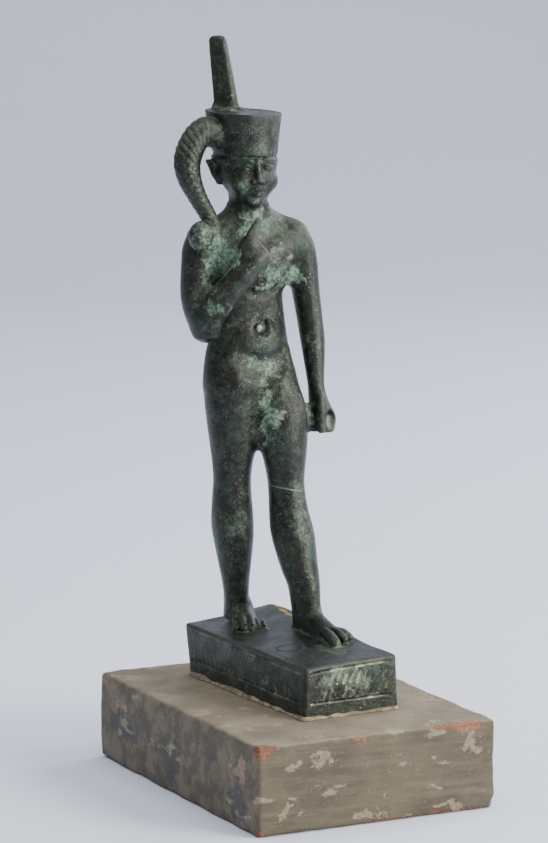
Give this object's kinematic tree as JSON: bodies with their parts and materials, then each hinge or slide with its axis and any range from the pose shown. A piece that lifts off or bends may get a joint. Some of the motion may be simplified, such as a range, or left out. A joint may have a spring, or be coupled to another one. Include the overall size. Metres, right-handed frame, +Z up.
{
  "type": "harpocrates statuette",
  "caption": "Small bronze figure of a striding boy god, finger to the chin, with a flared crown and sidelock, on a plinth set in putty on a painted wooden block.",
  "frame": {"origin": "centre of the wooden block's underside", "axes": "+Z up, the figure looks along -Y, the figure's own left side is +X"},
  "size_m": [0.07, 0.098, 0.1986],
  "materials": {
    "bronze": "dark patinated bronze with green corrosion in the hollows",
    "painted_wood": "worn grey paint over bare wood edges",
    "putty": "dry ochre putty"
  },
  "bodies": {
    "root": {"bronze_figure_on_plinth": "bronze", "putty_bead": "putty", "wooden_block": "painted_wood"}
  },
  "joints": []
}
